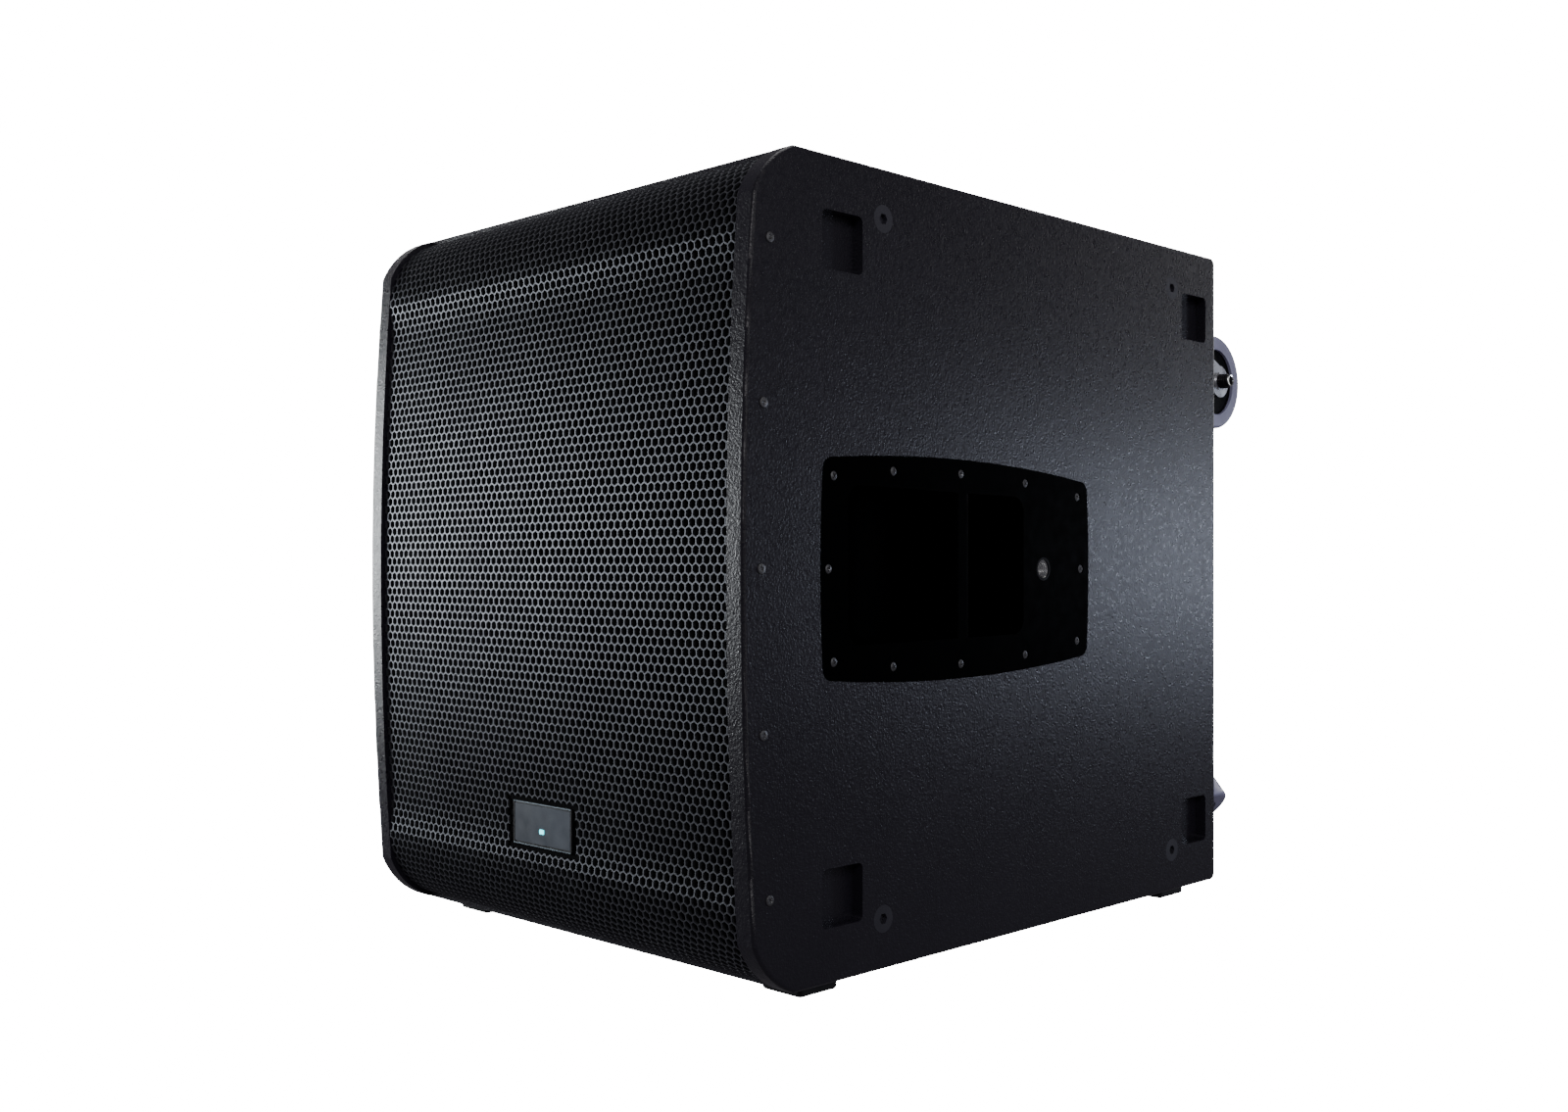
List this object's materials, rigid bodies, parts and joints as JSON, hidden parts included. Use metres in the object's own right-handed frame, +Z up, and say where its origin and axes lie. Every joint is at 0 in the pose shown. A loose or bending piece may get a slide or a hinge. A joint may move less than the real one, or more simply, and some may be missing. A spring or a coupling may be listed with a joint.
{
  "type": "pa speaker cabinet",
  "caption": "Powered bass loudspeaker cabinet with a bowed perforated grille, recessed side handles, stacking pockets, rubber feet and swivel casters on its back.",
  "frame": {"origin": "on the surface that the feet stand on, under the middle of the whole object with its casters", "axes": "+Z up, -Y towards the grille, +Y towards the casters, +X towards the handle side that is on the right seen from the front"},
  "size_m": [0.5224, 0.7899, 0.655],
  "materials": {
    "black_paint": "textured black paint on plywood",
    "grille_paint": "black powder-coated perforated steel",
    "foam": "open-cell black foam",
    "black_plastic": "satin black moulded plastic",
    "badge": "slate grey satin plate",
    "led": "clear cyan light pipe",
    "zinc": "bright zinc-plated steel",
    "black_screws": "blackened steel",
    "rubber": "black moulded rubber",
    "cast_frame": "black-coated cast aluminium",
    "magnet": "ferrite ring between steel plates",
    "cone_paper": "pressed paper",
    "coil": "wound coil on its former",
    "bare_steel": "folded zinc-coated steel",
    "board": "green circuit board with parts",
    "black_aluminium": "black anodised aluminium",
    "display": "dark display window",
    "blue_plastic": "blue moulded plastic",
    "wheel_black": "black moulded nylon",
    "tread": "blue-grey elastic tread",
    "lead": "black two-core lead",
    "lining": "pale damping felt"
  },
  "bodies": {
    "cabinet": {"side_panel_left": "black_paint", "side_panel_right": "black_paint", "top_panel": "black_paint", "bottom_panel": "black_paint", "back_panel": "black_paint", "front_baffle": "black_paint", "window_brace": "black_paint", "grille": "grille_paint", "grille_foam": "foam", "grille_screws": "black_screws", "badge_plate": "badge", "badge_led": "led", "handle_left": "black_plastic", "handle_right": "black_plastic", "pole_inserts": "zinc", "top_socket_plate": "black_screws", "recess_screws": "black_screws", "rubber_feet": "rubber", "foot_screws": "zinc", "rigging_plugs": "black_screws", "rigging_nuts": "zinc", "woofer_basket": "cast_frame", "woofer_magnet": "magnet", "woofer_surround": "rubber", "woofer_spider": "foam", "woofer_screws": "black_screws", "port_tube_left": "black_plastic", "port_tube_right": "black_plastic", "amp_panel": "black_aluminium", "amp_housing": "bare_steel", "amp_board": "board", "amp_heatsink": "black_aluminium", "amp_display": "display", "xlr_input": "black_plastic", "xlr_link": "black_plastic", "power_inlet": "blue_plastic", "amp_screws": "black_screws", "caster_plates": "zinc", "caster_screws": "zinc", "acoustic_lining": "lining", "speaker_leads": "lead"},
    "woofer_motion": {"woofer_cone": "cone_paper", "woofer_dust_cap": "cone_paper", "voice_coil": "coil"},
    "encoder": {"encoder_knob": "black_plastic"},
    "button": {"mode_button": "black_plastic"},
    "latch": {"xlr_latch": "zinc"},
    "rocker": {"power_rocker": "black_plastic"},
    "swivel_upper_right": {"caster_fork_upper_right": "zinc"},
    "wheel_upper_right": {"caster_core_upper_right": "wheel_black", "caster_tyre_upper_right": "tread"},
    "swivel_lower_right": {"caster_fork_lower_right": "zinc"},
    "wheel_lower_right": {"caster_core_lower_right": "wheel_black", "caster_tyre_lower_right": "tread"},
    "swivel_upper_left": {"caster_fork_upper_left": "zinc"},
    "wheel_upper_left": {"caster_core_upper_left": "wheel_black", "caster_tyre_upper_left": "tread"},
    "swivel_lower_left": {"caster_fork_lower_left": "zinc"},
    "wheel_lower_left": {"caster_core_lower_left": "wheel_black", "caster_tyre_lower_left": "tread"}
  },
  "joints": [
    {"name": "cone_excursion", "type": "slide", "parent": "cabinet", "child": "woofer_motion", "axis": [0, -1, 0], "range_m": [-0.008, 0.008], "stiffness_N_per_m": 7000, "deforming": ["woofer_surround", "woofer_spider"]},
    {"name": "encoder_turn", "type": "hinge", "parent": "cabinet", "child": "encoder", "pos_m": [0.014, 0.284, 0.345], "axis": [0, 1, 0], "continuous": true},
    {"name": "button_press", "type": "slide", "parent": "cabinet", "child": "button", "axis": [0, -1, 0], "range_m": [0, 0.002], "stiffness_N_per_m": 800},
    {"name": "latch_press", "type": "slide", "parent": "cabinet", "child": "latch", "axis": [0, -1, 0], "range_m": [0, 0.0025], "stiffness_N_per_m": 800},
    {"name": "rocker_switch", "type": "hinge", "parent": "cabinet", "child": "rocker", "pos_m": [0.03, 0.274, 0.25], "axis": [-1, 0, 0], "range_deg": [0, 16]},
    {"name": "swivel_turn_upper_right", "type": "hinge", "parent": "cabinet", "child": "swivel_upper_right", "pos_m": [0.207, 0.288, 0.574], "axis": [0, 1, 0], "continuous": true},
    {"name": "wheel_spin_upper_right", "type": "hinge", "parent": "swivel_upper_right", "child": "wheel_upper_right", "pos_m": [0.207, 0.345, 0.537], "axis": [1, 0, 0], "continuous": true},
    {"name": "swivel_turn_lower_right", "type": "hinge", "parent": "cabinet", "child": "swivel_lower_right", "pos_m": [0.207, 0.288, 0.096], "axis": [0, 1, 0], "continuous": true},
    {"name": "wheel_spin_lower_right", "type": "hinge", "parent": "swivel_lower_right", "child": "wheel_lower_right", "pos_m": [0.17866, 0.345, 0.07222], "axis": [0.6428, 0, -0.766], "continuous": true},
    {"name": "swivel_turn_upper_left", "type": "hinge", "parent": "cabinet", "child": "swivel_upper_left", "pos_m": [-0.207, 0.288, 0.574], "axis": [0, 1, 0], "continuous": true},
    {"name": "wheel_spin_upper_left", "type": "hinge", "parent": "swivel_upper_left", "child": "wheel_upper_left", "pos_m": [-0.207, 0.345, 0.537], "axis": [1, 0, 0], "continuous": true},
    {"name": "swivel_turn_lower_left", "type": "hinge", "parent": "cabinet", "child": "swivel_lower_left", "pos_m": [-0.207, 0.288, 0.096], "axis": [0, 1, 0], "continuous": true},
    {"name": "wheel_spin_lower_left", "type": "hinge", "parent": "swivel_lower_left", "child": "wheel_lower_left", "pos_m": [-0.207, 0.345, 0.059], "axis": [1, 0, 0], "continuous": true}
  ]
}
